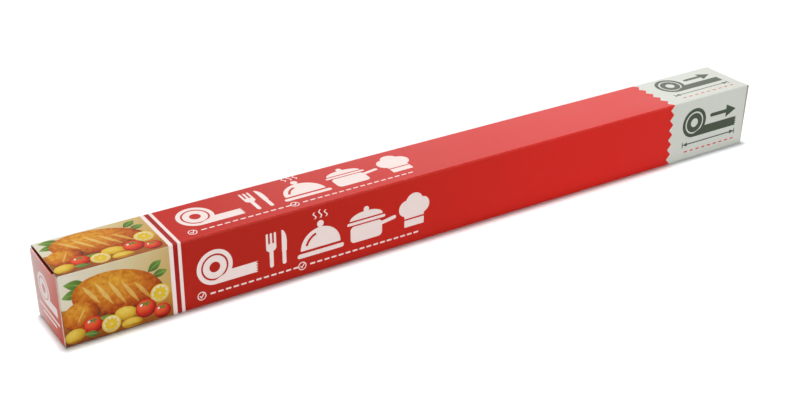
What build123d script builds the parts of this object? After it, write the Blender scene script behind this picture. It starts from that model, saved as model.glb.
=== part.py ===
from build123d import *
from math import acos, degrees
import os

# Folded carton that holds a roll of kitchen foil, closed and glued, in millimetres.
# X runs along the roll, Y from the front panel to the back panel and Z up from the table.

# The four panels that wrap round the roll
CARTON_LENGTH = 457.0  # top panel, from cut edge to cut edge
CARTON_DEPTH = 37.0  # front panel to back panel
CARTON_HEIGHT = 40.6  # table to top panel
BOARD = 0.5  # thickness of the carton board
FOLD_RADIUS = 0.8  # outside of a creased fold

# The glued lap along the lower back edge
SEAM_CLEARANCE = 0.4  # cut edge of the back panel, above the fold that it laps over

# The closing panel at each end, which folds up from the bottom panel
PANEL_SETBACK = 0.2  # from its side edges out to the faces of the front and back panels
GROOVE_DEPTH = 0.4  # groove beside it, down to where the dust flap's fold passes behind it
LEFT_LEAN = 0.6  # how far the top of the left panel stands out past the top panel
RIGHT_LEAN = 1.2  # the same at the right end

# The tuck at the top of each closing panel, which goes in under the top panel
TUCK_RADIUS = 0.9  # outside of the fold between the closing panel and its tuck
TUCK_DEPTH = 14.0  # how far the tuck reaches in
FRONT_SHOULDER = 4.2  # uncut corner of the closing panel at the front end of the tuck
BACK_SHOULDER = 0.6  # the same at the back end
SHOULDER_CLEARANCE = 0.1  # from a shoulder's cut edge up to the underside of the top panel
LEFT_MOUTH_FRONT = 2.2  # open height over the left tuck, at its front end
LEFT_MOUTH_BACK = 1.6  # the same at its back end
RIGHT_MOUTH_FRONT = 1.0  # open height over the right tuck, at its front end
RIGHT_MOUTH_BACK = 0.8  # the same at its back end
OVERRUN = 2.0  # how far a cut runs on into the air

# Places that follow from the sizes
HALF_LENGTH = CARTON_LENGTH / 2
UNDER_TOP = CARTON_HEIGHT - BOARD
PANEL_SIDE = CARTON_DEPTH / 2 - PANEL_SETBACK
SHOULDER_TOP = UNDER_TOP - SHOULDER_CLEARANCE


def sleeve_section():
    """Outline of the wrapped panels across the roll: three creased folds and the glued lap."""
    outline = Rectangle(CARTON_DEPTH, CARTON_HEIGHT, align=(Align.CENTER, Align.MIN))
    lap_height = FOLD_RADIUS + SEAM_CLEARANCE
    lap = Rectangle(BOARD, lap_height, align=(Align.MAX, Align.MIN))
    outline -= Pos(CARTON_DEPTH / 2, 0) * lap
    levels = outline.vertices().group_by(Axis.Y)
    return Plane.YZ * fillet(levels[0] + levels[-1], FOLD_RADIUS)


def panel_face(height, lean):
    """How far out a closing panel's face stands at a height, past the top panel's cut edge."""
    return lean * height / UNDER_TOP


def side_profile():
    """Outline from the front: leaning closing panels, and the top panel with its cut edges."""
    above = CARTON_HEIGHT + OVERRUN
    edge = Polyline(
        (-HALF_LENGTH - panel_face(-OVERRUN, LEFT_LEAN), 0, -OVERRUN),
        (HALF_LENGTH + panel_face(-OVERRUN, RIGHT_LEAN), 0, -OVERRUN),
        (HALF_LENGTH + panel_face(SHOULDER_TOP, RIGHT_LEAN), 0, SHOULDER_TOP),
        (HALF_LENGTH, 0, SHOULDER_TOP),
        (HALF_LENGTH, 0, above),
        (-HALF_LENGTH, 0, above),
        (-HALF_LENGTH, 0, SHOULDER_TOP),
        (-HALF_LENGTH - panel_face(SHOULDER_TOP, LEFT_LEAN), 0, SHOULDER_TOP),
        close=True,
    )
    return make_face(edge)


def closed_sleeve():
    """The wrapped panels with both ends closed, before anything is cut free."""
    reach = HALF_LENGTH + max(LEFT_LEAN, RIGHT_LEAN) + OVERRUN
    sleeve = extrude(sleeve_section(), reach, both=True)
    return sleeve & extrude(side_profile(), CARTON_DEPTH, both=True)


def corner_notch():
    """Cut beside the right closing panel, at the back, with the dust flap's fold on one side."""
    panel_inside = HALF_LENGTH - BOARD
    fold_start = panel_inside - FOLD_RADIUS
    back = CARTON_DEPTH / 2
    outer = back + OVERRUN
    far = HALF_LENGTH + max(LEFT_LEAN, RIGHT_LEAN) + OVERRUN
    fold_turn = -degrees(acos(1 - GROOVE_DEPTH / FOLD_RADIUS))
    edge = CenterArc((fold_start, back - FOLD_RADIUS), FOLD_RADIUS, 90, fold_turn)
    edge += Polyline(
        edge @ 1,
        (panel_inside, back - GROOVE_DEPTH),
        (panel_inside, PANEL_SIDE),
        (far, PANEL_SIDE),
        (far, outer),
        (fold_start, outer),
        (fold_start, back),
    )
    notch = extrude(make_face(edge), UNDER_TOP + OVERRUN)
    return Pos(0, 0, -OVERRUN) * notch


def flap_gap(lean, mouth):
    """Thin wedge of air between the right dust flaps and the leaning panel, open at both sides."""
    under_tuck = UNDER_TOP - mouth - BOARD
    wedge = Polyline(
        (HALF_LENGTH - BOARD, 0, BOARD),
        (HALF_LENGTH - BOARD + panel_face(under_tuck, lean), 0, under_tuck),
        (HALF_LENGTH - BOARD, 0, under_tuck),
        close=True,
    )
    return extrude(make_face(wedge), CARTON_DEPTH, both=True)


def mouth_section(y, lean, mouth):
    """Open space over the right tuck at one place along its fold, with the fold's round edge."""
    fold_height = UNDER_TOP - mouth
    below_round = fold_height - 2 * TUCK_RADIUS
    outside = HALF_LENGTH + lean + OVERRUN
    fold = (HALF_LENGTH + panel_face(fold_height, lean), y, fold_height)
    edge = Polyline(
        (outside, y, below_round),
        (HALF_LENGTH + panel_face(below_round, lean), y, below_round),
        fold,
        (HALF_LENGTH - TUCK_DEPTH, y, UNDER_TOP),
        (HALF_LENGTH, y, UNDER_TOP),
        (outside, y, UNDER_TOP + OVERRUN),
        close=True,
    )
    opening = make_face(edge)
    corner = opening.vertices().sort_by_distance(fold)[0]
    return fillet(corner, TUCK_RADIUS)


def tuck_mouth(lean, mouth_front, mouth_back):
    """Slit between the right top edge and the tuck, from shoulder to shoulder."""
    front = mouth_section(-PANEL_SIDE + FRONT_SHOULDER, lean, mouth_front)
    back = mouth_section(PANEL_SIDE - BACK_SHOULDER, lean, mouth_back)
    return loft([front, back], ruled=True)


def hinge_round(lean):
    """Cut along the lower right edge that leaves the round fold the closing panel hangs on."""
    far = HALF_LENGTH + lean + OVERRUN
    fold_start = (HALF_LENGTH - FOLD_RADIUS, 0, 0)
    fold_end = (HALF_LENGTH + panel_face(FOLD_RADIUS, lean), 0, FOLD_RADIUS)
    edge = TangentArc(fold_start, fold_end, tangent=(1, 0, 0))
    edge += Polyline(
        fold_end,
        (far, 0, FOLD_RADIUS),
        (far, 0, -OVERRUN),
        (HALF_LENGTH - FOLD_RADIUS, 0, -OVERRUN),
        fold_start,
    )
    return extrude(make_face(edge), CARTON_DEPTH, both=True)


def end_cuts(lean, mouth_front, mouth_back):
    """Everything that is cut away to free the right closing panel and its tuck."""
    notch = corner_notch()
    gap = flap_gap(lean, max(mouth_front, mouth_back))
    mouth = tuck_mouth(lean, mouth_front, mouth_back)
    return [hinge_round(lean), notch, mirror(notch, Plane.XZ), gap, mouth]


def foil_carton():
    """The whole closed carton as one solid, centred on the table."""
    carton = closed_sleeve()
    for cut in end_cuts(RIGHT_LEAN, RIGHT_MOUTH_FRONT, RIGHT_MOUTH_BACK):
        carton -= cut
    for cut in end_cuts(LEFT_LEAN, LEFT_MOUTH_FRONT, LEFT_MOUTH_BACK):
        carton -= mirror(cut, Plane.YZ)
    left_reach = panel_face(SHOULDER_TOP, LEFT_LEAN)
    right_reach = panel_face(SHOULDER_TOP, RIGHT_LEAN)
    return Pos((left_reach - right_reach) / 2, 0, 0) * carton


os.makedirs("parts", exist_ok=True)
carton = foil_carton()
print("foil_carton", len(carton.solids()), "solid", carton.bounding_box())
export_step(carton.solid(), "parts/foil_carton.step")
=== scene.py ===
# %% [markdown]
# # A carton of kitchen foil, printed flat and folded up
#
# The real object is a roll of foil inside a long slim carton. All that shows is the carton: one sheet of
# white lined board that was printed flat, cut, creased, folded round the roll and glued.
# This lesson makes it in the same order. It draws the flat blank, prints it, folds it up and then lights it.
# The first cell loads the measured solid, which fixes the place and the size of everything that follows.

# %% Load the frame
import math
from collections import Counter, namedtuple

import bpy
from mathutils import Matrix, Vector
from mathutils.geometry import delaunay_2d_cdt


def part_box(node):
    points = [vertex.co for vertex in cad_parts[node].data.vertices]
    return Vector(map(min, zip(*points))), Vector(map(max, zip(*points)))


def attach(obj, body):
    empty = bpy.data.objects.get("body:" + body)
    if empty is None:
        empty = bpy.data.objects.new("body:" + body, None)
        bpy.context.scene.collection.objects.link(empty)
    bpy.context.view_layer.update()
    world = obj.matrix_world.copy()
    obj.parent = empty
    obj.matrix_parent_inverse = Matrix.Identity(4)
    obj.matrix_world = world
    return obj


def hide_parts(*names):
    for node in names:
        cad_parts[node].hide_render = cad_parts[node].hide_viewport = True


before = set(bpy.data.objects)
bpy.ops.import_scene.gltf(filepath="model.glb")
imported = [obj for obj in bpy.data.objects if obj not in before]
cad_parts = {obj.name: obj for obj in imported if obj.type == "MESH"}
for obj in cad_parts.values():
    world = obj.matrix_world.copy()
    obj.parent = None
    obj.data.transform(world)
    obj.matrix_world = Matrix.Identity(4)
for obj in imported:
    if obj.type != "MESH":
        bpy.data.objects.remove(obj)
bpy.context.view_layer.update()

# %% [markdown]
# ## Sizes of the board
#
# A carton is planned in millimetres, so the blank is too, and only the finished mesh is turned into metres.
# The box round the solid gives the depth and the height. The board's thickness and the radius of a crease are
# those of the solid, because the board has to fill the same place.

# %% Board and panels
MM = 0.001
BOARD = 0.5  # thickness of the board
FOLD = 0.8  # outside radius of a creased fold
FOLD_ARC = FOLD * math.pi / 2  # board used up by a square fold, on its printed side
AIR = 0.02  # film of glue or air between two layers
LAP_RISE = 0.4  # cut edge of the back panel, above the fold that it laps over
GLUE_FLAP = 12.0

low, high = (Vector(corner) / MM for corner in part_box("foil_carton"))
DEPTH = high.y - low.y
HEIGHT = high.z - low.z
UNDER_TOP = HEIGHT - BOARD

PANELS = {  # flat width of each panel between its folds, in the order of the blank
    "glue": GLUE_FLAP,
    "bottom": DEPTH - BOARD - AIR - 2 * FOLD,
    "front": HEIGHT - 2 * FOLD,
    "top": DEPTH - 2 * FOLD,
    "back": HEIGHT - 2 * FOLD - LAP_RISE,
}
START = {}  # where each panel begins on the blank, measured round the carton
GIRTH = 0.0
for panel, width in PANELS.items():
    START[panel] = GIRTH
    GIRTH += width + FOLD_ARC
GIRTH -= FOLD_ARC
END = {panel: START[panel] + width for panel, width in PANELS.items()}
print(f"carton {high.x - low.x:.1f} x {DEPTH:.1f} x {HEIGHT:.1f} mm, blank {GIRTH:.1f} mm round")

# %% [markdown]
# ## Following a folded sheet
#
# Seen from its cut edge, folded board is a line of straight runs and round creases. One small function can
# walk along such a line and say where a printed point ends up and which way it faces.
# The same walk does the wrap round the roll, the flaps at the ends and the tucks.

# %% Walk along runs and creases
def walk(distance, place, heading, turning, moves):
    """Place and outward direction after a distance along the printed side of a folded sheet.

    A move is (length, radius), where radius 0 is a straight run. The creases turn anticlockwise
    where turning is 1 and clockwise where it is -1, with the printed side outside.
    """
    place = Vector(place)
    for length, radius in moves:
        step = min(distance, length)
        if radius:
            place -= radius * turning * Vector((math.sin(heading), -math.cos(heading)))
            heading += turning * step / radius
            place += radius * turning * Vector((math.sin(heading), -math.cos(heading)))
        else:
            place += step * Vector((math.cos(heading), math.sin(heading)))
        distance -= step
        if distance <= 0:
            break
    return place, turning * Vector((math.sin(heading), -math.cos(heading)))


WRAP = []
for width in PANELS.values():
    WRAP += [(width, 0), (FOLD_ARC, FOLD)]
WRAP.pop()


def wrap(s):
    """Depth and height of a point of the blank once it is wrapped round the roll."""
    return walk(s, (DEPTH / 2 - BOARD - AIR, FOLD + GLUE_FLAP), -math.pi / 2, -1, WRAP)


for panel in PANELS:
    place, outward = wrap(START[panel] + PANELS[panel] / 2)
    print(panel, "middle at", [round(v, 2) for v in place], "faces", [round(v, 2) for v in outward])

# %% [markdown]
# ## The end flaps
#
# Each end closes with three flaps. Dust flaps fold in from the front and back panels. A closing panel folds
# up from the bottom over them, leans out a little, and its tuck goes in under the top panel.
# The left tuck was not pushed home squarely. Its crease is askew and sags in the middle, which leaves a dark
# crescent under the top panel. The crease's height is therefore a function of the place across the end.
# The crescent is dark from the real shade in the gap and from painted shade on the tuck.

# %% Sizes of the two ends
TUCK_RADIUS = 0.9  # outside radius of the crease between a closing panel and its tuck
TUCK_DEPTH = 14.0  # how far in from the cut edge a tuck reaches
TUCK_RUN = 13.0  # straight part of a tuck, past its crease
PANEL_SIDE = DEPTH / 2 - 0.2  # half width of a closing panel
TUCK_FRONT = -PANEL_SIDE + 4.2  # a shoulder of the closing panel stays beside the tuck
TUCK_BACK = PANEL_SIDE - 0.9  # the tuck narrows to this as it folds in
SHOULDER_TOP = UNDER_TOP - 0.1
SLOT = 0.15  # width of the knife cut beside a shoulder
DUST_FLAP = 14.0
DUST_FOLD = 0.55  # a dust flap is creased more sharply than the sleeve
DUST_ARC = DUST_FOLD * math.pi / 2
HINGE_BACK = DEPTH / 2 - BOARD - AIR - FOLD  # back end of the bottom panel's flat part
EAR = 0.5  # how far the lower front fold stops short of the cut edge
TOP_CUT_BACK = 0.5  # the top panel is cut back over a tuck, so that the tuck slides in
HAIR = 0.05  # the least that keeps two folds apart

Closure = namedtuple("Closure", "sign edge lean mouth_front mouth_back sag")


def closure(sign, lean, mouth_front, mouth_back, sag):
    """One end of the carton: its cut edge follows from the box and from how far the panel leans out."""
    outside = high.x if sign > 0 else low.x
    return Closure(sign, outside - sign * lean * SHOULDER_TOP / UNDER_TOP, lean, mouth_front, mouth_back, sag)


def relief(end, z):
    """Where a dust flap's crease begins, inside the top panel's cut edge. It follows the leaning panel."""
    return BOARD + DUST_FOLD + AIR - min(end.lean, BOARD + AIR) * z / UNDER_TOP


LEFT = closure(-1, 0.6, 2.3, 1.0, 0.4)
RIGHT = closure(1, 1.2, 1.0, 0.8, 0.1)
print(f"top panel from x = {LEFT.edge:.2f} to {RIGHT.edge:.2f} mm")


# %% Section through a closing panel
def clamp(value):
    """The value, kept between 0 and 1."""
    return min(1.0, max(0.0, value))


def closing_moves(end, y):
    """Hinge, panel, tuck crease and tuck at one place across the end, as moves along the board."""
    tilt = math.atan2(end.lean, UNDER_TOP)
    hinge = FOLD * (math.pi / 2 - tilt)
    hinge_top = FOLD * (1 - math.sin(tilt))
    if y < TUCK_FRONT - SLOT / 2:
        return [(hinge, FOLD), ((SHOULDER_TOP - hinge_top) / math.cos(tilt), 0)]
    share = (y - TUCK_FRONT) / (TUCK_BACK - TUCK_FRONT)
    mouth = end.mouth_front + share * (end.mouth_back - end.mouth_front)
    mouth += end.sag * math.sin(math.pi * clamp(share))
    turn = math.pi / 2 + tilt - math.atan2(mouth, TUCK_DEPTH + end.lean)
    run = (UNDER_TOP - mouth - hinge_top) / math.cos(tilt) - TUCK_RADIUS * math.tan(turn / 2)
    return [(hinge, FOLD), (run, 0), (TUCK_RADIUS * turn, TUCK_RADIUS), (TUCK_RUN, 0)]


def reach(end, y, count):
    """How far past the cut edge the first few moves of a closing panel go, on the flat blank."""
    return sum(length for length, _ in closing_moves(end, y)[:count]) - FOLD


def on_tuck_crease(end, y, share):
    """How far past the cut edge a point lies that is a share of the way round the tuck's crease."""
    return reach(end, y, 2) * (1 - share) + reach(end, y, 3) * share


def across(y):
    """Place on the blank of a point across the bottom panel or a closing panel."""
    return START["bottom"] + HINGE_BACK - y


print("left tuck crease:", [round(reach(LEFT, y, 2), 2) for y in (TUCK_FRONT, TUCK_BACK)], "mm up the flap")


# %% Fold any point of the blank
def fold_up(u, s):
    """Place and outward direction in the folded carton of the blank's point u along it and s round it."""
    end = LEFT if u < 0 else RIGHT
    past = end.sign * (u - end.edge)
    (y, z), (face_y, face_z) = wrap(s)
    if past > -FOLD and s < START["front"] - FOLD_ARC / 2:
        y = HINGE_BACK + START["bottom"] - s
        (past, z), (face_x, face_z) = walk(past + FOLD, (-FOLD, 0), 0, 1, closing_moves(end, y))
        return Vector((end.edge + end.sign * past, y, z)), Vector((end.sign * face_x, 0, face_z))
    on_side = START["front"] + HAIR < s <= END["front"] or START["back"] <= s
    begin = -relief(end, z)
    if past > begin and on_side:
        flap = [(DUST_ARC, DUST_FOLD), (DUST_FLAP, 0)]
        (past, inset), (face_x, face) = walk(past - begin, (begin, 0), 0, -1, flap)
        place = Vector((end.edge + end.sign * past, y + inset * face_y, z + inset * face_z))
        return place, Vector((end.sign * face_x, face * face_y, face * face_z))
    return Vector((u, y, z)), Vector((0, face_y, face_z))


print("top panel's middle folds to", [round(v, 2) for v in fold_up(0, START["top"] + PANELS["top"] / 2)[0]])

# %% [markdown]
# ## The cut outline
#
# A die cuts the blank out of the sheet in one stroke: the four panels, the glue flap, four dust flaps and two
# closing panels with tucks. The outline could be traced by hand, but every corner follows from the folds,
# so one function lists the corners of an end and both ends use it.

# %% Outline of one end, from the glue flap round to the back panel
TIP_TRIM = 0.6  # cut off a dust flap's tip
TUCK_CORNER = 3.0  # corner cut off a tuck, so that it slides in
GLUE_TAPER = 10.0  # how far the glue flap slopes in at each end
HINGE_GAP = 0.1  # between the back end of a hinge and the fold beside it
SNIP = 0.5  # small corner cut off beside a fold


def dust_flap_corners(end, low_edge, high_edge):
    """Corners of a dust flap from its lower to its upper edge. It is cut back to clear the tuck."""
    foot, head = relief(end, FOLD), relief(end, HEIGHT - FOLD)
    root = DUST_ARC - head
    tip = root + DUST_FLAP - TIP_TRIM
    step = 1 if high_edge > low_edge else -1
    return [
        (-foot, low_edge + 0.1 * step),
        (root + 0.5, low_edge + 0.1 * step),
        (tip, low_edge + 5.0 * step),
        (tip, high_edge - 8.0 * step),
        (root + 3.2, high_edge - 2.8 * step),
        (root + 0.9, high_edge - 1.5 * step),
        (root + 0.1, high_edge - 0.1 * step),
        (-head, high_edge - HAIR * step),
    ]


def tuck_corners(end):
    """Tuck and front shoulder at the head of a closing panel, from the back to the front."""
    shoulder, front = reach(end, -PANEL_SIDE, 2), reach(end, TUCK_FRONT, 2)
    tip = min(reach(end, TUCK_BACK, 4), reach(end, TUCK_FRONT, 4))
    return [
        (reach(end, PANEL_SIDE, 2), across(PANEL_SIDE)),
        (reach(end, TUCK_BACK, 3), across(TUCK_BACK)),
        (tip - TUCK_CORNER, across(TUCK_BACK)),
        (tip, across(TUCK_BACK - TUCK_CORNER)),
        (tip, across(TUCK_FRONT + TUCK_CORNER)),
        (tip - TUCK_CORNER, across(TUCK_FRONT)),
        (front, across(TUCK_FRONT)),
        (front, across(TUCK_FRONT - SLOT)),
        (shoulder, across(TUCK_FRONT - SLOT)),
        (shoulder, across(-PANEL_SIDE)),
    ]


def over_top(y):
    """Place on the blank of a point across the top panel."""
    return START["top"] - FOLD + DEPTH / 2 + y


def end_outline(end):
    """Corners of one end of the blank as (distance past the cut edge, distance round the blank)."""
    hinge = reach(end, 0, 1)
    foot, head = relief(end, FOLD), relief(end, HEIGHT - FOLD)
    cap = FOLD * math.asin((FOLD - BOARD) / FOLD)  # part of the top fold that lies below the top panel
    hinge_end, ear_side = across(HINGE_BACK - HINGE_GAP), across(-PANEL_SIDE + SNIP)
    corners = [(-GLUE_TAPER, 0), (-3.0, GLUE_FLAP - 1.0), (-foot, GLUE_FLAP)]
    corners += [(-foot, hinge_end), (hinge, hinge_end)]
    corners += [(hinge + (HINGE_GAP + SNIP), across(PANEL_SIDE))] + tuck_corners(end)
    corners += [(hinge + SNIP, across(-PANEL_SIDE)), (hinge, ear_side)]
    corners += [(-EAR, ear_side), (-EAR, START["front"]), (-foot, START["front"])]
    corners += dust_flap_corners(end, START["front"], END["front"])
    corners += [(-head, END["front"] + cap), (0, END["front"] + cap), (0, over_top(TUCK_FRONT - SNIP))]
    corners += [(-TOP_CUT_BACK, over_top(TUCK_FRONT + SNIP)), (-TOP_CUT_BACK, over_top(TUCK_BACK - 1.5))]
    corners += [(0, over_top(TUCK_BACK)), (0, START["back"] - cap), (-head, START["back"] - cap)]
    corners += dust_flap_corners(end, GIRTH, START["back"])[::-1]
    corners += [(-foot, GIRTH)]
    return [(end.edge + end.sign * past, s) for past, s in corners]


blank_outline = end_outline(RIGHT) + end_outline(LEFT)[::-1]
print(len(blank_outline), "corners in the outline of the blank")

# %% [markdown]
# ## Creases in the mesh
#
# A crease only bends where the mesh has edges, so lines are laid along every fold, close together, and pinned
# into the mesh. A few more lines beside each fold let a worn, rubbed tint fade out over a millimetre or so.

# %% Lines that the mesh keeps
STEPS = 6  # facets in a square fold
TUCK_PLACES = [PANEL_SIDE + (TUCK_FRONT - PANEL_SIDE) * k / 9 for k in range(10)]  # along a tuck's crease
RUB = 1.1  # how far the rubbed tint of a crease reaches

crease_lines = []
ROUND_FOLDS = [(END[a], START[b]) for a, b in zip(list(PANELS), list(PANELS)[1:])]
for first, last in ROUND_FOLDS:
    marks = [first + (last - first) * k / STEPS for k in range(STEPS + 1)]
    for s in [first - RUB] + marks + [last + RUB]:
        crease_lines.append(((LEFT.edge, s), (RIGHT.edge, s)))

for end in (LEFT, RIGHT):
    for k in range(STEPS + 1):
        hinge = end.edge + end.sign * (reach(end, 0, 1) * k / STEPS - FOLD * (1 - k / STEPS))
        crease_lines.append(((hinge, across(PANEL_SIDE)), (hinge, across(-PANEL_SIDE))))
        for flap in ((START["front"], END["front"]), (GIRTH, START["back"])):
            pasts = [DUST_ARC * k / STEPS - relief(end, wrap(s)[0].y) for s in flap]
            crease_lines.append([(end.edge + end.sign * past, s) for past, s in zip(pasts, flap)])
        line = [(end.edge + end.sign * on_tuck_crease(end, y, k / STEPS), across(y)) for y in TUCK_PLACES]
        crease_lines += zip(line, line[1:])
print(len(crease_lines), "crease lines")

# %% [markdown]
# ## Drawing with inks
#
# On the press, each colour is a plate with simple shapes on it, and a later plate prints over an earlier one.
# Here a shape is an outline with an ink name and, for shaded shapes, a tone from 0 to 1 at each point.
# Shapes go into one list, and the last one that covers a spot gives the spot its ink.
# Textures could do this too, but shapes in the mesh keep every printed edge sharp at any distance.

# %% A sheet of drawing paper for each panel
Shape = namedtuple("Shape", "ink outline tone")
print_list = []
# The red field is painted lighter to the right and on the top panel: painted light, as if lit more from the
# right and from above.
FADE_START, FADE_LENGTH = 60.0, 300.0  # where the red field grows lighter, from the left cut edge
TOP_LIFT, TOP_EVENNESS = 0.3, 0.38  # on the top panel the red starts lighter and changes less
# The left end's red is painted paler to the back and to the head: painted glare on a panel of one red.
END_GLARE = 0.5  # how much of its red the left end has lost at its head


def red_painted_light(u, s):
    """Painted light on the red: deep at the left, lighter to the right, and less deep on the top panel."""
    along = clamp((u - LEFT.edge - FADE_START) / FADE_LENGTH)
    along = along * along * (3 - 2 * along)
    over_fold = clamp((s - END["front"]) / FOLD_ARC)
    return along + over_fold * (TOP_LIFT - TOP_EVENNESS * along)


def end_painted_glare(u, s):
    """Painted glare on the left end: red full at the front and low down, thin and pale to the back and head.
    """
    forward = clamp((s - across(PANEL_SIDE)) / (2 * PANEL_SIDE))
    upward = clamp((LEFT.edge - u) / HEIGHT)
    return forward * (1 - END_GLARE * upward)


# Both tones are painted light on the print: the red lighter where light falls more, and glare on the left
# end.
FIELD_TONE = {"red_ink": red_painted_light, "end_red_and_glare_ink": end_painted_glare}


class Sheet:
    """Drawing paper on a panel: x from the left cut edge and y up from the panel's lower edge, in mm."""

    def __init__(self, lower):
        self.lower = lower

    def to_blank(self, x, y):
        return LEFT.edge + x, self.lower + y

    def from_blank(self, u, s):
        return u - LEFT.edge, s - self.lower

    def draw(self, ink, outline, tone=None):
        """Add a shape. tone is a function of x and y, and most inks have a middle tone without one."""
        placed = [self.to_blank(x, y) for x, y in outline]
        shade = (lambda u, s: tone(*self.from_blank(u, s))) if tone else FIELD_TONE.get(ink)
        print_list.append(Shape(ink, placed, shade))


class EndSheet(Sheet):
    """Drawing paper on a closing panel: x from its middle to the right and y up, seen from outside."""

    def __init__(self, end):
        self.end = end

    def to_blank(self, x, y):
        return self.end.edge + self.end.sign * y, across(x * self.end.sign)

    def from_blank(self, u, s):
        return (across(0) - s) * self.end.sign, (u - self.end.edge) * self.end.sign


print("tone of the red at its ends:", [red_painted_light(end.edge, START["front"]) for end in (LEFT, RIGHT)])


# %% Plain shapes to draw with
def arc(cx, cy, rx, ry, first=0, last=360, tilt=0, steps=40):
    """Points along an oval's edge between two angles in degrees."""
    cos_tilt, sin_tilt = math.cos(math.radians(tilt)), math.sin(math.radians(tilt))
    points = []
    for k in range(steps + 1 if last - first < 360 else steps):
        angle = math.radians(first + (last - first) * k / steps)
        x, y = rx * math.cos(angle), ry * math.sin(angle)
        points.append((cx + x * cos_tilt - y * sin_tilt, cy + x * sin_tilt + y * cos_tilt))
    return points


def disc(cx, cy, radius, steps=32):
    return arc(cx, cy, radius, radius, steps=steps)


def box(x0, y0, x1, y1):
    return [(x0, y0), (x1, y0), (x1, y1), (x0, y1)]


def soft_box(x0, y0, x1, y1, r):
    """A box with round corners."""
    corners = ((x1 - r, y0 + r, -90), (x1 - r, y1 - r, 0), (x0 + r, y1 - r, 90), (x0 + r, y0 + r, 180))
    return [point for x, y, a in corners for point in arc(x, y, r, r, a, a + 90, steps=5)]


def bar(x0, y0, x1, y1, width):
    """A straight stroke with round ends."""
    angle = math.degrees(math.atan2(y1 - y0, x1 - x0))
    r = width / 2
    far_end = arc(x1, y1, r, r, angle - 90, angle + 90, steps=8)
    return far_end + arc(x0, y0, r, r, angle + 90, angle + 270, steps=8)


def arc_band(cx, cy, inner, outer, first, last):
    """Part of a ring."""
    outside = arc(cx, cy, outer, outer, first, last, steps=20)
    return outside + arc(cx, cy, inner, inner, first, last, steps=20)[::-1]


def leaf(x0, y0, x1, y1, swell, steps=12):
    """A pointed leaf from one tip to the other. swell is its half width."""
    along, side = Vector((x1 - x0, y1 - y0)), Vector((y0 - y1, x1 - x0)).normalized()
    edge = []
    for sign in (-1, 1):
        for k in range(steps):
            t = k / steps if sign < 0 else 1 - k / steps
            edge.append(tuple(Vector((x0, y0)) + along * t + side * (sign * swell * math.sin(math.pi * t))))
    return edge


def saw_edge(x_valley, x_tip, first, last, pitch, phase):
    """Teeth up an edge, from one height to another, with a tip at phase."""
    points = []
    k = math.floor((first - phase) / (pitch / 2))
    while phase + k * pitch / 2 <= last + pitch / 2:
        points.append((x_tip if k % 2 == 0 else x_valley, phase + k * pitch / 2))
        k += 1
    return points


print("a disc has", len(disc(0, 0, 1)), "points")

# %% [markdown]
# ## Fields of colour and bands
#
# The base plates come first. A picture field covers the left end of the sleeve. Two white stripes with a deep
# red one between them close it off. A long red field follows and ends in a row of saw teeth, and the rest is
# a pale grey band. The stripes and teeth run on round all four panels, over the folds.

# %% Fields, stripes and saw teeth
WHITE, RED = "white_ink", "red_ink"
PICTURE_START, PICTURE_END = -0.2, 57.4  # all along the carton, from the left cut edge
STRIPES = ((WHITE, 57.4, 59.6), ("deep_red_and_tuck_shade_ink", 59.6, 62.1), (WHITE, 62.1, 63.9))
RED_START = 63.9
TOOTH_VALLEY, TOOTH_TIP, TOOTH_PITCH = 391.9, 394.8, 6.65
BLEED = 70.0  # how far print runs on past the outline before it is cut
PRINT_FROM, PRINT_TO = START["bottom"] - 2, GIRTH + 1  # round the blank, on to the glue flap and off the edge

front, top = (Sheet(START[panel] - FOLD) for panel in ("front", "top"))
sleeve = Sheet(0.0)
span = RIGHT.edge - LEFT.edge

sleeve.draw("bare_board", box(-BLEED, -1, span + BLEED, PRINT_TO))
sleeve.draw("grey_ink", box(TOOTH_VALLEY - 1, PRINT_FROM, span + BLEED, PRINT_TO))
sleeve.draw("picture_ground", box(PICTURE_START, PRINT_FROM, PICTURE_END, PRINT_TO))
sleeve.draw(RED, box(-BLEED, PRINT_FROM, PICTURE_START, START["front"]))
sleeve.draw("bare_board", box(-BLEED, START["front"], PICTURE_START, PRINT_TO))
teeth = saw_edge(TOOTH_VALLEY, TOOTH_TIP, PRINT_FROM, PRINT_TO, TOOTH_PITCH, START["top"] - FOLD_ARC / 2)
sleeve.draw(RED, [(RED_START, teeth[0][1])] + teeth + [(RED_START, teeth[-1][1])])
for ink, left, right in STRIPES:
    sleeve.draw(ink, box(left, PRINT_FROM, right, PRINT_TO))
print(len(print_list), "base shapes,", len(teeth) // 2, "teeth round the carton")

# %% [markdown]
# ## The kitchen picture
#
# The left end carries a warm picture of food. A generic one is drawn here: a scored loaf and a bun on a
# board, with tomatoes, potatoes, slices of lemon and basil leaves. Each rounded thing gets a tone as if lit
# from the upper left, so that its ink can run from shadow to light as a printed picture does.

# %% Tones for round things
SHADE, OUT, ASIDE, UP = 0.12, 0.62, 0.2, 0.34  # tone in the shade, and what facing out, left and up adds


def dome(cx, cy, rx, ry, tilt=0):
    """Tone of a rounded form lit from the upper left."""
    turn = math.radians(tilt)

    def tone(x, y):
        dx, dy = x - cx, y - cy
        a = (dx * math.cos(turn) + dy * math.sin(turn)) / rx
        b = (dy * math.cos(turn) - dx * math.sin(turn)) / ry
        lift = math.sqrt(max(0.0, 1 - a * a - b * b))
        return clamp(SHADE + OUT * lift - ASIDE * a + UP * b)

    return tone


def slope(x0, y0, x1, y1):
    """Tone that rises evenly from one point to another."""
    way = Vector((x1 - x0, y1 - y0))
    return lambda x, y: clamp(Vector((x - x0, y - y0)).dot(way) / way.length_squared)


print("tone in the middle of a round thing:", dome(0, 0, 1, 1)(0, 0))


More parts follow.
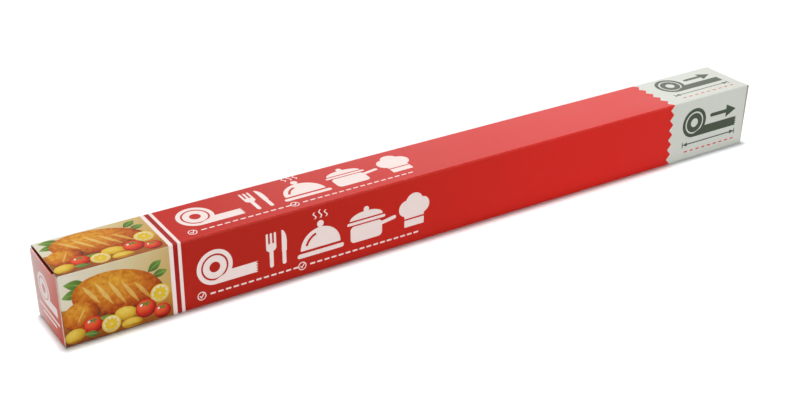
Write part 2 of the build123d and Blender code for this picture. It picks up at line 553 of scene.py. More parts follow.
# %% Draw the picture on a panel
def draw_tomato(sheet, cx, cy, r):
    sheet.draw("tomato_ink", arc(cx, cy, r, r * 0.92), dome(cx, cy, r, r * 0.92))
    stalk = cy + r * 0.45
    for angle in (15, 75, 140, 200, 290):
        x, y = math.cos(math.radians(angle)), math.sin(math.radians(angle))
        sheet.draw("leaf_ink", leaf(cx, stalk, cx + x * r * 0.55, stalk + y * r * 0.3, r * 0.09))
    sheet.draw(WHITE, arc(cx - r * 0.42, cy + r * 0.42, r * 0.16, r * 0.1, tilt=40, steps=12))


def draw_lemon_slice(sheet, cx, cy, r):
    sheet.draw("lemon_ink", disc(cx, cy, r), slope(cx, cy - r, cx, cy + r))
    sheet.draw("picture_ground", disc(cx, cy, r * 0.86), slope(cx, cy - 2 * r, cx, cy + r))
    for k in range(9):
        a = math.radians(40 * k)
        tip = (cx + r * 0.79 * math.cos(a), cy + r * 0.79 * math.sin(a))
        sheet.draw("lemon_ink", leaf(cx + r * 0.1 * math.cos(a), cy + r * 0.1 * math.sin(a), *tip, r * 0.21))


def draw_leaf(sheet, x0, y0, x1, y1, swell):
    sheet.draw("leaf_ink", leaf(x0, y0, x1, y1, swell), slope(x0, y0 - swell, x1, y1 + swell))
    sheet.draw("leaf_rib_ink", leaf(x0, y0, x1 * 0.9 + x0 * 0.1, y1 * 0.9 + y0 * 0.1, 0.16, steps=4))


def draw_loaf(sheet, cx, cy, length, height, tilt, scores):
    shade = dome(cx, cy, length * 1.04, height * 1.1, tilt)
    sheet.draw("shadow_ink", arc(cx + 0.8, cy - 1.6, length * 1.02, height, tilt=tilt, steps=56))
    sheet.draw("crust_ink", arc(cx, cy, length, height, tilt=tilt, steps=64), shade)
    turn = math.radians(tilt)
    for k in range(scores):
        along = (k - (scores - 1) / 2) * length * 1.45 / scores
        x, y = cx + along * math.cos(turn), cy + along * math.sin(turn)
        dx, dy = math.copysign(height * 0.34, tilt), height * 0.62 * (1 - abs(along / length) ** 2 * 0.6)
        sheet.draw("crumb_ink", leaf(x - dx, y - dy, x + dx, y + dy, length * 0.045), shade)


def draw_potato(sheet, cx, cy, rx, ry, tilt):
    sheet.draw("potato_ink", arc(cx, cy, rx, ry, tilt=tilt), dome(cx, cy, rx * 1.05, ry * 1.05, tilt))


FOOD = (  # from the back of the picture to the front
    (draw_leaf, 14.5, 31.5, 2.5, 34.5, 2.8),
    (draw_leaf, 11.5, 29.0, 1.0, 27.5, 2.6),
    (draw_leaf, 45.5, 29.0, 53.0, 34.0, 2.4),
    (draw_leaf, 47.5, 26.0, 55.8, 27.5, 2.2),
    (draw_loaf, 29.0, 22.6, 23.5, 12.6, -12, 5),
    (draw_loaf, 9.8, 15.6, 9.2, 7.8, 8, 1),
    (draw_lemon_slice, 50.9, 15.4, 5.2),
    (draw_potato, 32.6, 9.4, 6.2, 4.0, -12),
    (draw_tomato, 43.0, 9.0, 5.6),
    (draw_tomato, 15.4, 8.6, 5.2),
    (draw_leaf, 28.4, 7.2, 19.0, 11.4, 2.2),
    (draw_lemon_slice, 24.4, 6.0, 5.0),
    (draw_tomato, 51.6, 5.0, 4.6),
    (draw_potato, 5.8, 5.0, 5.4, 3.9, 10),
    (draw_potato, 35.2, 3.2, 5.6, 2.9, -4),
    (draw_leaf, 18.0, 3.0, 10.4, 4.4, 1.8),
)
WOOD_BOARD = [(PICTURE_START, 0), (PICTURE_END, 0), (PICTURE_END, 14.0), (PICTURE_START, 21.0)]
for sheet, height in ((front, HEIGHT), (top, DEPTH)):
    sheet.draw("picture_ground", box(PICTURE_START, 0, PICTURE_END, height), slope(52, 2, 0, 34))
    sheet.draw("wood_ink", WOOD_BOARD, slope(20, -6, 26, 21))
    for draw_food, *sizes in FOOD:
        draw_food(sheet, *sizes)
print(len(print_list), "shapes after the picture")

# %% [markdown]
# ## Pictograms on the red field
#
# A carton like this shows in bold white print what it is for. Pictograms say that in every kitchen, so a row
# of them stands here: a roll with its sheet pulled out, cutlery, a domed dish, a pan and a cook's hat. Each
# is a few discs, bars and boxes, with red shapes printed over the white ones where a line has to show.

# %% White pictograms
def draw_roll(sheet, x, y, size, sheet_end, ink, ground):
    """A roll seen from its end, with its sheet pulled out to the right along the lower edge."""
    for share, fill, steps in ((1.0, ink, 48), (0.76, ground, 40), (0.66, ink, 40), (0.3, ground, 28)):
        sheet.draw(fill, disc(x, y, size * share, steps))
    foot, thick = y - size, size * 0.24
    head = foot + thick * 2.6
    cut = saw_edge(sheet_end - 1.2, sheet_end, foot, head, thick * 0.65, foot)
    cut = [(px, py) for px, py in cut if foot <= py <= head]
    sheet.draw(ink, [(x, foot)] + cut + [(x + size * 0.92, cut[-1][1]), (x, foot + thick)])


def draw_cutlery(sheet, x):
    sheet.draw(WHITE, bar(x, 12.0, x, 22.0, 2.3))
    sheet.draw(WHITE, soft_box(x - 3.0, 20.5, x + 3.0, 25.2, 2.2))
    for k in (-1, 0, 1):
        sheet.draw(WHITE, bar(x + 2.35 * k, 23.0, x + 2.35 * k, 30.7, 1.25))
    blade = [(x + 6.2, 18.6), (x + 9.0, 18.6)] + arc(x + 6.2, 24.0, 3.0, 7.4, 0, 90, steps=10)
    sheet.draw(WHITE, blade)
    sheet.draw(WHITE, bar(x + 7.5, 12.0, x + 7.5, 19.5, 2.3))


def draw_domed_dish(sheet, x):
    sheet.draw(WHITE, soft_box(x - 14.2, 10.9, x + 14.2, 13.5, 1.2))
    sheet.draw(WHITE, arc(x, 15.0, 12.2, 11.8, 0, 180))
    sheet.draw(RED, arc_band(x, 15.0, 8.2, 9.6, 108, 164))
    sheet.draw(WHITE, disc(x, 28.7, 2.0, 24))


def draw_pan(sheet, x):
    sheet.draw(WHITE, soft_box(x - 10.0, 10.9, x + 10.0, 20.9, 2.4))
    sheet.draw(WHITE, bar(x - 11.2, 22.6, x + 11.2, 22.6, 1.7))
    sheet.draw(WHITE, arc(x, 24.4, 10.4, 4.3, 0, 180))
    sheet.draw(WHITE, disc(x, 29.6, 1.7, 24))
    sheet.draw(WHITE, bar(x + 9.5, 18.4, x + 18.0, 19.8, 2.2))


def draw_cooks_hat(sheet, x):
    for dx, y, r in ((-5.0, 22.6, 5.0), (0.0, 25.6, 5.6), (5.0, 22.6, 5.0)):
        sheet.draw(WHITE, disc(x + dx, y, r))
    sheet.draw(WHITE, box(x - 6.4, 10.9, x + 6.4, 22.6))
    sheet.draw(RED, box(x - 6.6, 15.2, x + 6.6, 16.2))


def draw_steam(sheet, x):
    """Three curls of steam."""
    for k in (-1, 0, 1):
        rise = 5.0 - abs(k)
        line = [(x + 3.4 * k + 0.8 * math.sin(t / 10 * 2 * math.pi), 32.2 + rise * t / 10) for t in range(11)]
        sheet.draw(WHITE, [(px - 0.42, py) for px, py in line][::-1] + [(px + 0.42, py) for px, py in line])


# %% A row of roundels and rules
DASH = 2.2  # length of a dash, and of the gap after it
DISH_PLACE = 143.5


def draw_rule_row(sheet):
    """A thin line of print under the pictograms: a roundel with a tick, then a dashed rule, twice."""
    for x, stop in ((73.4, 127.5), (132.0, 207.5)):
        sheet.draw(WHITE, disc(x, 6.3, 2.5, 28))
        sheet.draw(RED, disc(x, 6.3, 1.95, 28))
        sheet.draw(WHITE, bar(x - 1.0, 6.3, x - 0.2, 5.3, 0.6))
        sheet.draw(WHITE, bar(x - 0.2, 5.3, x + 1.2, 7.6, 0.6))
        dash = x + 5.2
        while dash < stop:
            sheet.draw(WHITE, bar(dash, 6.2, dash + DASH, 6.2, 1.0))
            dash += 2 * DASH


for sheet in (front, top):
    draw_roll(sheet, 81.5, 21.0, 10.1, 106.0, WHITE, RED)
    draw_cutlery(sheet, 114.0)
    draw_domed_dish(sheet, DISH_PLACE)
    draw_pan(sheet, 172.0)
    draw_cooks_hat(sheet, 203.0)
    draw_steam(sheet, DISH_PLACE)
    draw_rule_row(sheet)
print(len(print_list), "shapes after the pictograms")

# %% [markdown]
# ## Marks on the grey band and the end
#
# The grey band says how much foil there is. Here a roll with an arrow stands for its length, and a
# double-headed arrow between two bars stands for its width. The end panel repeats the roll in white on red.
# The tuck under the top panel is painted in dark red as painted shade.

# %% Dark marks and the end panel
DARK = "dark_ink"
WIDTH_LINE = (405.0, 449.0)  # the two ends of the double-headed arrow
# Past this share of the way round the tuck's crease, the tuck is painted dark as painted shade.
TUCK_SHADE_FROM = 0.82  # share of the way round the tuck's crease where the end's red stops


def draw_length_marks(sheet):
    draw_roll(sheet, 413.0, 24.5, 9.8, 450.0, DARK, "grey_ink")
    sheet.draw(DARK, bar(427.5, 26.5, 441.0, 26.5, 2.5))
    sheet.draw(DARK, [(440.0, 22.2), (448.6, 26.5), (440.0, 30.8)])
    sheet.draw(DARK, box(WIDTH_LINE[0], 10.2, WIDTH_LINE[1], 11.0))
    for x, way in zip(WIDTH_LINE, (1, -1)):
        sheet.draw(DARK, box(min(x, x - 0.7 * way), 8.7, max(x, x - 0.7 * way), 12.5))
        head = [(x, 10.6), (x + 3.6 * way, 9.1), (x + 3.6 * way, 12.1)]
        sheet.draw(DARK, head if way > 0 else head[::-1])
    for k in range(9):
        sheet.draw(RED, bar(407.0 + 5.0 * k, 5.6, 409.0 + 5.0 * k, 5.6, 0.9))


for sheet in (front, top):
    draw_length_marks(sheet)

left_face = EndSheet(LEFT)
# The left end's red pales to the back and the head as painted glare.
left_face.draw("end_red_and_glare_ink", box(-DEPTH, 0, DEPTH, BLEED))
# Painted shade: the tuck in the slit under the top panel is painted in the darkest tone of the deep red.
tuck_edge = [(-y, on_tuck_crease(LEFT, y, TUCK_SHADE_FROM)) for y in TUCK_PLACES]
left_face.draw("deep_red_and_tuck_shade_ink", tuck_edge + [(x, y + BLEED) for x, y in tuck_edge[::-1]], lambda x, y: 0.0)
draw_roll(left_face, -4.0, 22.5, 8.6, 14.0, WHITE, "end_red_and_glare_ink")
for y, half in ((10.2, 14.0), (6.9, 9.0)):
    left_face.draw(WHITE, bar(-half, y, half, y, 1.5))
print(len(print_list), "shapes in all")

# %% [markdown]
# ## Cutting the mesh along the print
#
# Blender can cut a flat mesh along any lines with a constrained triangulation. It gets the outline, the
# crease lines, all printed shapes and a net of loose points that keeps the triangles even.
# It tells which shapes cover each triangle, and the last of them is the ink that shows.

# %% Triangulate the flat blank
NET = 7.0  # mesh width on plain print
FINE_NET = 1.3  # mesh width where tones change
INSIDE_LOOPS = 1  # the kind of cut that keeps the triangles inside the loops
MERGE = 2e-3  # points closer than this become one


def net(x0, x1, s0, s1, step):
    """Loose points spread evenly over a stretch of the blank."""
    columns, rows = max(2, round((x1 - x0) / step)), max(2, round((s1 - s0) / step))
    return [
        Vector((x0 + (x1 - x0) * (i + 0.5) / columns, s0 + (s1 - s0) * (j + 0.5) / rows))
        for i in range(columns)
        for j in range(rows)
    ]


flat_points, flat_lines, flat_faces = [], [], []


def add_loop(points):
    flat_faces.append(list(range(len(flat_points), len(flat_points) + len(points))))
    flat_points.extend(Vector(point) for point in points)


add_loop(blank_outline)
for shape in print_list:
    add_loop(shape.outline)
THIRDS = [LEFT.edge + span * k / 3 for k in range(4)]
for line in crease_lines + [((u, 0), (u, GIRTH)) for u in THIRDS]:
    flat_lines.append((len(flat_points), len(flat_points) + 1))
    flat_points.extend(Vector(point) for point in line)
for panel in ("bottom", "front", "top", "back"):
    fine = panel in ("front", "top")
    plain_from = LEFT.edge + (PICTURE_END if fine else 0)
    if fine:
        flat_points += net(LEFT.edge, plain_from, START[panel], END[panel], FINE_NET)
    flat_points += net(plain_from, RIGHT.edge, START[panel], END[panel], NET)

triangulated = delaunay_2d_cdt(flat_points, flat_lines, flat_faces, INSIDE_LOOPS, MERGE)
cut_points, _, cut_faces, _, _, cover = triangulated
kept = [(face, max(ids)) for face, ids in zip(cut_faces, cover) if 0 in ids]
print(len(cut_points), "points and", len(kept), "triangles on the printed side")

# %% [markdown]
# ## Folding the blank
#
# Each point of the flat mesh goes to its place in the folded carton, and a second layer of points lies one
# board thickness behind it. Narrow faces along the outline close the two layers into a solid sheet, so every
# cut edge shows its thickness. Each corner of the mesh gets its true direction from the folding, so flat
# panels stay flat and creases look round, however the triangles lie.

# %% Make the folded mesh
places, outwards, index_of = [], [], {}
for face, _ in kept:
    for point in face:
        if point not in index_of:
            index_of[point] = len(places)
            place, outward = fold_up(*cut_points[point])
            places.append(place)
            outwards.append(outward)
count = len(places)
points_3d = [place * MM for place in places]
points_3d += [(place - outward * BOARD) * MM for place, outward in zip(places, outwards)]

printed = [tuple(index_of[point] for point in face) for face, _ in kept]
inside = [tuple(point + count for point in reversed(face)) for face in printed]
used = Counter()
for face in printed:
    for k in range(3):
        used[frozenset((face[k], face[k - 1]))] += 1
cut_edges = []
for face in printed:
    for a, b in zip(face, face[1:] + face[:1]):
        if used[frozenset((a, b))] == 1:
            cut_edges.append((b, a, a + count, b + count))

mesh = bpy.data.meshes.new("foil_carton_board")
mesh.from_pydata(points_3d, [], printed + inside + cut_edges)
print(len(printed), "printed,", len(inside), "inside and", len(cut_edges), "edge faces")


# %% Directions at the corners
def add_object(name, data):
    """A new object in the scene."""
    thing = bpy.data.objects.new(name, data)
    bpy.context.scene.collection.objects.link(thing)
    return thing


mesh.shade_smooth()
edge_normals = [polygon.normal.copy() for polygon in list(mesh.polygons)[len(printed) + len(inside):]]
directions = []
for face in printed:
    directions += [outwards[point] for point in face]
for face in inside:
    directions += [-outwards[point - count] for point in face]
for face, normal in zip(cut_edges, edge_normals):
    directions += [normal] * len(face)
mesh.normals_split_custom_set(directions)

carton = add_object("foil_carton_board", mesh)
lowest = [min(v.co[axis] for v in mesh.vertices) / MM for axis in range(3)]
highest = [max(v.co[axis] for v in mesh.vertices) / MM for axis in range(3)]
print("folded box in mm:", [round(v, 2) for v in lowest], [round(v, 2) for v in highest])

# %% [markdown]
# ## Values that the inks read
#
# Shaded shapes keep their tone on the mesh, and creases keep how much they are rubbed. The inks read both by
# name. Storing them on the corners lets two shapes meet in a sharp line with a tone of their own each.

# %% Tone and rub on the mesh
MIDDLE_TONE = 0.5


def rub_at(s):
    """How rubbed the print is: 1 on a crease, 0 a little way off."""
    return max(clamp(1 - max(first - s, s - last, 0) / RUB) for first, last in ROUND_FOLDS[1:])


flat_of = {index: cut_points[point] for point, index in index_of.items()}
tones, rubs = [], []
for face, (_, shape_id) in zip(printed, kept):
    tone = print_list[shape_id - 1].tone if shape_id else None
    for point in face:
        tones.append(tone(*flat_of[point]) if tone else MIDDLE_TONE)
        rubs.append(rub_at(flat_of[point].y))
rest = len(mesh.loops) - len(tones)
for name, values in (("print_tone", tones + [MIDDLE_TONE] * rest), ("crease_rub", rubs + [0.0] * rest)):
    mesh.attributes.new(name, "FLOAT", "CORNER").data.foreach_set("value", values)
print("tones from", round(min(tones), 2), "to", round(max(tones), 2))

# %% [markdown]
# ## A flat map of the print
#
# When the part leaves Blender its print becomes one square picture. The blank is flat already, so it is laid
# out on that square as it is, with no stretch: the sleeve in three lengths and the flaps of both ends beside
# them. The inside and the cut edges hardly show, so they get little room.

# %% Lay the blank out on a square sheet
MAP_SIDE = 340.0  # mm along each side of the square
LENGTH_PLACES = ((3, 3), (173, 3), (3, 173))  # lower left corners of the sleeve's three lengths
LEFT_FLAPS, RIGHT_FLAPS, FLAP_LEVEL = 233, 237, 173  # cut edges of the two ends, and where both begin
INSIDE_PLACE, INSIDE_SCALE = Vector((316, 173)), 0.06
EDGE_X, EDGE_Y, EDGE_PITCH, EDGE_SIDE, EDGE_ROW = 299, 190, 2.5, 1.5, 16  # small squares in rows


def lay_out(face):
    """Places on the square sheet of the corners of a printed face."""
    middle = sum(flat_of[point].x for point in face) / 3
    if middle < LEFT.edge:
        move = Vector((LEFT_FLAPS - LEFT.edge, FLAP_LEVEL))
    elif middle > RIGHT.edge:
        move = Vector((RIGHT_FLAPS - RIGHT.edge, FLAP_LEVEL))
    else:
        third = min(2, int((middle - LEFT.edge) / span * 3))
        move = Vector(LENGTH_PLACES[third]) - Vector((THIRDS[third], 0))
    return [flat_of[point] + move for point in face]


laid = []
for face in printed:
    laid += lay_out(face)
for face in inside:
    laid += [INSIDE_PLACE + flat_of[point - count] * INSIDE_SCALE for point in face]
for k in range(len(cut_edges)):
    x, y = EDGE_X + k % EDGE_ROW * EDGE_PITCH, EDGE_Y + k // EDGE_ROW * EDGE_PITCH
    laid += box(x, y, x + EDGE_SIDE, y + EDGE_SIDE)
sheet_map = mesh.uv_layers.new(name="OFBake")
sheet_map.data.foreach_set("uv", [value / MAP_SIDE for place in laid for value in place])
print("map uses", [round(max(place[axis] for place in laid)) for axis in (0, 1)], "mm of", MAP_SIDE)

# %% [markdown]
# ## Shared effects of print and board
#
# Every ink on the carton shares three things with the others: the slight mottle of a large press, the varnish
# over it all, and the rub on the creases. Each is a node group with its own inputs, so that one change of the
# group reaches all inks.

# %% Helpers for nodes
def new_group(name, inputs, outputs):
    """An empty node group with named number inputs and outputs."""
    group = bpy.data.node_groups.new(name, "ShaderNodeTree")
    for label, value in inputs:
        group.interface.new_socket(label, in_out="INPUT", socket_type="NodeSocketFloat").default_value = value
    for label in outputs:
        group.interface.new_socket(label, in_out="OUTPUT", socket_type="NodeSocketFloat")
    return group, group.nodes.new("NodeGroupInput"), group.nodes.new("NodeGroupOutput")


def feed(tree, node, values):
    """Feed a node's inputs, by label or by number, from sockets or with numbers and colours."""
    for label, value in values.items():
        socket = node.inputs[label]
        if isinstance(value, bpy.types.NodeSocket):
            tree.links.new(value, socket)
        else:
            socket.default_value = (*value, 1) if socket.type == "RGBA" else value


def add_node(tree, kind, values=(), **settings):
    """A new node of a kind, with its settings made and its inputs fed."""
    node = tree.nodes.new(kind)
    for name, setting in settings.items():
        setattr(node, name, setting)
    feed(tree, node, dict(values))
    return node


def add_math(tree, operation, *values):
    """A math node whose inputs are sockets or numbers."""
    return add_node(tree, "ShaderNodeMath", enumerate(values), operation=operation).outputs[0]


def add_noise(tree, scale, detail, stretch=(1, 1, 1)):
    """Noise on the object's own coordinates, in cycles to the metre. stretch squeezes it along an axis."""
    place = add_node(tree, "ShaderNodeTexCoord").outputs["Object"]
    place = add_node(tree, "ShaderNodeMapping", {"Vector": place, "Scale": stretch}).outputs["Vector"]
    noise = add_node(tree, "ShaderNodeTexNoise", {"Vector": place, "Scale": scale, "Detail": detail})
    return noise.outputs["Fac"]


def add_attribute(tree, name):
    """A value that is stored on the mesh."""
    return add_node(tree, "ShaderNodeAttribute", attribute_name=name).outputs["Fac"]


# %% Node groups
mottle, given, result = new_group("press_mottle", [("Strength", 0.05)], ["Density"])
cloud = add_noise(mottle, 160, 3)
speck = add_noise(mottle, 2600, 2)
mixed = add_math(mottle, "MULTIPLY_ADD", speck, 0.5, cloud)
swing = add_math(mottle, "MULTIPLY", add_math(mottle, "SUBTRACT", mixed, 0.75), given.outputs["Strength"])
feed(mottle, result, {"Density": add_math(mottle, "ADD", swing, 1.0)})

varnish, given, result = new_group("varnish_film", [("Base Roughness", 0.3)], ["Roughness", "Height"])
smear = add_noise(varnish, 35, 4, (0.4, 1, 1))
tooth = add_noise(varnish, 900, 3, (0.5, 1, 1))
swing = add_math(varnish, "MULTIPLY", add_math(varnish, "SUBTRACT", smear, 0.5), 0.16)
film = add_math(varnish, "ADD", swing, given.outputs["Base Roughness"])
feed(varnish, result, {"Roughness": film, "Height": tooth})

rubbed, given, result = new_group("crease_wear", [("Amount", 0.3)], ["Mask"])
crease = add_attribute(rubbed, "crease_rub")
crack = add_noise(rubbed, 1500, 4, (0.35, 1, 1))
broken = add_math(rubbed, "MULTIPLY", add_math(rubbed, "POWER", crack, 2.0), 3.0)
worn = add_math(rubbed, "MULTIPLY", add_math(rubbed, "POWER", crease, 2.0), broken)
feed(rubbed, result, {"Mask": add_math(rubbed, "MULTIPLY", worn, given.outputs["Amount"])})
print("node groups:", [group.name for group in bpy.data.node_groups])

# %% [markdown]
# ## Inks
#
# One function mixes an ink. A ramp turns the tone on the mesh into colour, the press mottle thins and
# thickens it, and the worn creases let the pale board through. Flat inks have a ramp with two close colours.
# The gloss is kept low, as on thin varnish over board, so that a white room tints the red only a little.
# The red of the left end is duller still.

# %% Ink maker
BARE_PALE = (0.80, 0.77, 0.71)  # white lined board where the ink is rubbed away
SPECULAR = 0.10  # a thin varnish, and matt paper, mirror little
MIX_FACTOR, MIX_A, MIX_B, MIX_RESULT = 0, 6, 7, 2  # a mix node's sockets for colours
MOTTLE, WEAR = 0.06, 0.03  # strength of the press mottle and of the rub on the creases
PRINT_TOOTH = 0.02  # height of the varnished board's tooth, in mm


def new_material(name):
    """A new material, and its nodes."""
    material = bpy.data.materials.new(name)
    material.use_nodes = True
    return material, material.node_tree


def add_ramp(tree, value, stops):
    """Colours that follow a value. stops are (value, colour) pairs."""
    ramp = add_node(tree, "ShaderNodeValToRGB", {"Fac": value})
    while len(ramp.color_ramp.elements) < len(stops):
        ramp.color_ramp.elements.new(0.5)
    for element, (place, colour) in zip(ramp.color_ramp.elements, stops):
        element.position = place
        element.color = (*colour, 1)
    return ramp.outputs["Color"]


def mix_colour(tree, blend, factor, a, b):
    """A mix of two colours. Each is a socket or three numbers."""
    values = {MIX_FACTOR: factor, MIX_A: a, MIX_B: b}
    return add_node(tree, "ShaderNodeMix", values, data_type="RGBA", blend_type=blend).outputs[MIX_RESULT]


def finish_surface(tree, colour, roughness, tooth_height):
    """Varnish over a colour: roughness and the board's tooth come from the varnish group."""
    film = add_node(tree, "ShaderNodeGroup", {"Base Roughness": roughness}, node_tree=varnish).outputs
    bump = add_node(tree, "ShaderNodeBump", {"Height": film["Height"], "Distance": tooth_height * MM})
    surface = {"Base Color": colour, "Roughness": film["Roughness"], "Normal": bump.outputs["Normal"]}
    feed(tree, tree.nodes["Principled BSDF"], {**surface, "Specular IOR Level": SPECULAR})


def mix_ink(name, stops, grain, roughness):
    """A printed ink. stops are (tone, colour) pairs and grain breaks up the tone, as food is uneven."""
    material, tree = new_material(name)
    tone = add_attribute(tree, "print_tone")
    if grain:
        uneven = add_math(tree, "SUBTRACT", add_noise(tree, 420, 4), 0.5)
        tone = add_math(tree, "MULTIPLY_ADD", uneven, grain, tone)
    density = add_node(tree, "ShaderNodeGroup", {"Strength": MOTTLE}, node_tree=mottle).outputs["Density"]
    inked = mix_colour(tree, "MULTIPLY", 1.0, add_ramp(tree, tone, stops), density)
    mask = add_node(tree, "ShaderNodeGroup", {"Amount": WEAR}, node_tree=rubbed).outputs["Mask"]
    finish_surface(tree, mix_colour(tree, "MIX", mask, inked, BARE_PALE), roughness, PRINT_TOOTH)
    return material


# %% All inks
INKS = {
    "bare_board": [(0.0, (0.74, 0.71, 0.65)), (1.0, (0.80, 0.77, 0.71))],
    # The red's low and high tones carry the painted light of the red field.
    "red_ink": [(0.0, (0.40, 0.011, 0.003)), (1.0, (0.63, 0.011, 0.005))],
    # The deep red's darkest tone is painted shade on the left tuck; the stripe prints at the middle tone.
    "deep_red_and_tuck_shade_ink": [(0.0, (0.20, 0.014, 0.003)), (0.45, (0.33, 0.006, 0.003)), (1.0, (0.36, 0.006, 0.003))],
    # The pale low tones of the left end's red are painted glare.
    "end_red_and_glare_ink": [(0.0, (0.72, 0.50, 0.48)), (0.5, (0.63, 0.20, 0.16)), (1.0, (0.50, 0.03, 0.004))],
    "white_ink": [(0.0, (0.80, 0.67, 0.635)), (1.0, (0.82, 0.69, 0.655))],
    "grey_ink": [(0.0, (0.585, 0.60, 0.545)), (1.0, (0.615, 0.63, 0.575))],
    "dark_ink": [(0.0, (0.050, 0.066, 0.042)), (1.0, (0.060, 0.078, 0.050))],
    "picture_ground": [(0.0, (0.50, 0.28, 0.05)), (0.5, (0.60, 0.49, 0.27)), (1.0, (0.68, 0.63, 0.52))],
    "wood_ink": [(0.0, (0.17, 0.035, 0.006)), (0.6, (0.34, 0.10, 0.013)), (1.0, (0.50, 0.22, 0.03))],
    "potato_ink": [(0.05, (0.30, 0.11, 0.008)), (0.5, (0.58, 0.34, 0.02)), (1.0, (0.74, 0.56, 0.10))],
    "shadow_ink": [(0.0, (0.12, 0.04, 0.01)), (1.0, (0.17, 0.06, 0.015))],
    "crust_ink": [
        (0.05, (0.11, 0.010, 0.002)),
        (0.35, (0.35, 0.050, 0.004)),
        (0.65, (0.50, 0.145, 0.009)),
        (0.95, (0.66, 0.33, 0.03)),
    ],
    "crumb_ink": [(0.1, (0.40, 0.14, 0.02)), (0.5, (0.58, 0.29, 0.05)), (1.0, (0.72, 0.48, 0.14))],
    "tomato_ink": [(0.1, (0.20, 0.006, 0.004)), (0.5, (0.55, 0.025, 0.008)), (1.0, (0.76, 0.14, 0.04))],
    "lemon_ink": [(0.0, (0.56, 0.33, 0.008)), (1.0, (0.74, 0.54, 0.035))],
    "leaf_ink": [(0.0, (0.03, 0.07, 0.012)), (0.6, (0.10, 0.20, 0.03)), (1.0, (0.22, 0.36, 0.07))],
    "leaf_rib_ink": [(0.0, (0.26, 0.38, 0.10)), (1.0, (0.32, 0.44, 0.13))],
}
# How uneven an ink's tone is
GRAIN = dict(crust_ink=0.75, crumb_ink=0.6, wood_ink=0.5, potato_ink=0.35, leaf_ink=0.3, tomato_ink=0.15)
PRINT_ROUGHNESS, END_ROUGHNESS = 0.33, 0.6  # of the varnished print, and of the left end's red
for name, stops in INKS.items():
    roughness = END_ROUGHNESS if name == "end_red_and_glare_ink" else PRINT_ROUGHNESS
    mesh.materials.append(mix_ink(name, stops, GRAIN.get(name, 0.0), roughness))
print(len(mesh.materials), "inks")

# %% [markdown]
# ## Raw board
#
# The inside of the carton and its cut edges are unprinted board: matt, greyish and fibrous. The cut edges are
# darker, partly the board's own grey and partly painted shade. The upright sides of the closing panels lie
# open to the light and are painted warmer and paler as painted light. All three come from one function, with
# a coarser tooth than the varnished print.

# %% Inside and cut edges
RAW_ROUGHNESS, RAW_TOOTH = 0.8, 0.06  # the tooth's height is in mm
RAW_BOARDS = (  # name, colour of the dark and of the pale fibres, and fibres to the metre
    ("board_inside", (0.42, 0.38, 0.31), (0.54, 0.50, 0.43), 700),
    # Cut edges: darkened as painted shade on top of the board's own grey.
    ("board_cut_edge", (0.30, 0.265, 0.215), (0.44, 0.40, 0.34), 1600),
    # Upright sides of the closing panels: painted paler and warmer as painted light.
    ("board_side_edge", (0.56, 0.42, 0.35), (0.66, 0.52, 0.45), 1600),
)
SIDEWAYS = 0.7  # an edge that looks this squarely to the front or back is the side of a closing panel


def raw_board(name, dark, pale, scale):
    material, tree = new_material(name)
    fibres = add_noise(tree, scale, 5, (0.3, 1, 1))
    finish_surface(tree, add_ramp(tree, fibres, [(0.3, dark), (0.7, pale)]), RAW_ROUGHNESS, RAW_TOOTH)
    return material


for board in RAW_BOARDS:
    mesh.materials.append(raw_board(*board))

INSIDE_SLOT, EDGE_SLOT, SIDE_SLOT = range(len(INKS), len(INKS) + len(RAW_BOARDS))
ink_slot = {name: k for k, name in enumerate(INKS)}
slots = [ink_slot[print_list[shape_id - 1].ink] if shape_id else 0 for _, shape_id in kept]
slots += [INSIDE_SLOT] * len(inside)
slots += [SIDE_SLOT if abs(normal.y) > SIDEWAYS else EDGE_SLOT for normal in edge_normals]
mesh.polygons.foreach_set("material_index", slots)
print(Counter(mesh.materials[slot].name for slot in slots))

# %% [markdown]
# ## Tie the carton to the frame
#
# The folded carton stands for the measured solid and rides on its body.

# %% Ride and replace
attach(carton, "root")
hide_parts("foil_carton")
print(carton.name, "rides on root")

# %% [markdown]
# ## Floor and light
#
# A product picture has a white sweep and large soft lamps. The floor is a plain pale sheet. To the camera it
# and the room behind it read as white, and the carton still leaves its soft shadow on it.
# One lamp hangs high up, so its light is nearly parallel and draws an even, narrow shadow under the front
# panel and the left end. Low broad lamps fill the sides.

# %% Floor
HALF_FLOOR = 4.0
PAPER = [(0.0, (0.89, 0.922, 0.935)), (1.0, (0.91, 0.942, 0.955))]
PAPER_ROUGHNESS = 0.9
GLOW = {"From Min": 0.25, "From Max": 1.2, "To Min": 0.05, "To Max": 1.0}  # from metres away to strength


def add_seen(tree):
    """1 where a surface is seen, also in gloss or through glass, and 0 where it would light other things."""
    path = add_node(tree, "ShaderNodeLightPath").outputs
    seen = add_math(tree, "MAXIMUM", path["Is Camera Ray"], path["Is Glossy Ray"])
    return add_math(tree, "MAXIMUM", seen, path["Is Transmission Ray"])


floor_mesh = bpy.data.meshes.new("floor")
corners = box(-HALF_FLOOR, -HALF_FLOOR, HALF_FLOOR, HALF_FLOOR)
floor_mesh.from_pydata([(x, y, 0) for x, y in corners], [], [(0, 1, 2, 3)])
floor = add_object("floor", floor_mesh)

paper, tree = new_material("white_sweep")
middle = add_node(tree, "ShaderNodeTexCoord").outputs["Object"]
away = add_node(tree, "ShaderNodeVectorMath", {0: middle}, operation="LENGTH").outputs["Value"]
fade = add_node(tree, "ShaderNodeMapRange", {"Value": away, **GLOW}, interpolation_type="SMOOTHSTEP")
paper_finish = {
    "Base Color": add_ramp(tree, add_noise(tree, 60, 3), PAPER),
    "Roughness": PAPER_ROUGHNESS,
    "Specular IOR Level": SPECULAR,
    "Emission Color": (1, 1, 1),
    "Emission Strength": add_math(tree, "MULTIPLY", add_seen(tree), fade.outputs["Result"]),
}
feed(tree, tree.nodes["Principled BSDF"], paper_finish)
floor_mesh.materials.append(paper)
print("floor", 2 * HALF_FLOOR, "m square")

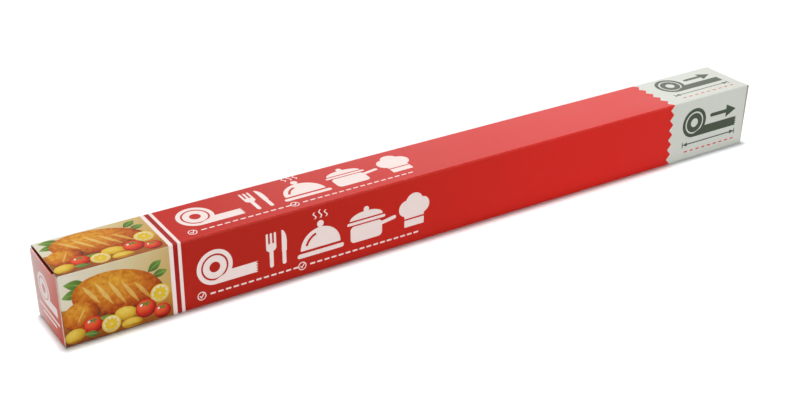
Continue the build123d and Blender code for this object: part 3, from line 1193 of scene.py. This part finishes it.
# %% Room
AMBIENT = 0.05
world = bpy.data.worlds.new("studio")
bpy.context.scene.world = world
world.use_nodes = True
tree = world.node_tree
strength = add_math(tree, "MULTIPLY_ADD", add_seen(tree), 1.0 - AMBIENT, AMBIENT)
feed(tree, tree.nodes["Background"], {"Color": (1, 1, 1), "Strength": strength})
print("room light", AMBIENT)

# %% Lamps
LAMPS = (  # name, place, target and size in metres, and power in watts
    ("overhead_lamp", (0.03, 0.68, 9.0), (0, 0, 0), 1.08, 722.0),
    ("front_lamp", (-0.05, -1.5, 0.18), (0.05, 0, 0), 0.8, 12.6),
    ("back_lamp", (0.9, 1.2, 0.6), (0.1, 0, 0), 0.9, 3.8),
    ("rear_lamp", (-0.4, 1.5, 0.3), (0, 0, 0), 0.8, 5.0),
    ("left_lamp", (-1.3, -0.2, 0.16), (-0.1, 0, 0), 0.8, 4.0),
    ("right_lamp", (1.4, 0.1, 0.16), (0.1, 0, 0), 0.8, 3.0),
)
for name, place, target, size, power in LAMPS:
    lamp = bpy.data.lights.new(name, "AREA")
    lamp.shape = "SQUARE"
    lamp.size = size
    lamp.energy = power
    lamp_object = add_object(name, lamp)
    lamp_object.location = place
    aim = Vector(target) - Vector(place)
    lamp_object.rotation_euler = aim.to_track_quat("-Z", "Y").to_euler()
print("lamps:", [lamp.name for lamp in bpy.data.lights])

# %% [markdown]
# ## The camera
#
# The camera's place, lens and tilt come from fitting the carton's corners and long edges to where they lie in
# the picture, which is 794 by 400 pixels.

# %% Camera at the picture's viewing angle
VIEW_PLACE = (-391.34, -567.82, 365.24)  # mm, in the carton's frame
VIEW_LENS, SENSOR_WIDTH = 61.0, 36.0  # mm
VIEW_FORWARD = Vector((0.48202, 0.7477, -0.45673))
VIEW_RIGHT = Vector((0.84265, -0.5384, 0.00791))

lens = bpy.data.cameras.new("camera")
lens.sensor_fit = "HORIZONTAL"
lens.sensor_width = SENSOR_WIDTH
lens.lens = VIEW_LENS
lens.clip_start = 0.01
camera = add_object("camera", lens)
back = -VIEW_FORWARD.normalized()
right = (VIEW_RIGHT - back * VIEW_RIGHT.dot(back)).normalized()
up = back.cross(right)
turn = Matrix((right, up, back)).transposed()
camera.matrix_world = Matrix.Translation(Vector(VIEW_PLACE) * MM) @ turn.to_4x4()
bpy.context.scene.camera = camera
bpy.context.scene.view_settings.view_transform = "Standard"
print("camera at", [round(v, 3) for v in camera.location])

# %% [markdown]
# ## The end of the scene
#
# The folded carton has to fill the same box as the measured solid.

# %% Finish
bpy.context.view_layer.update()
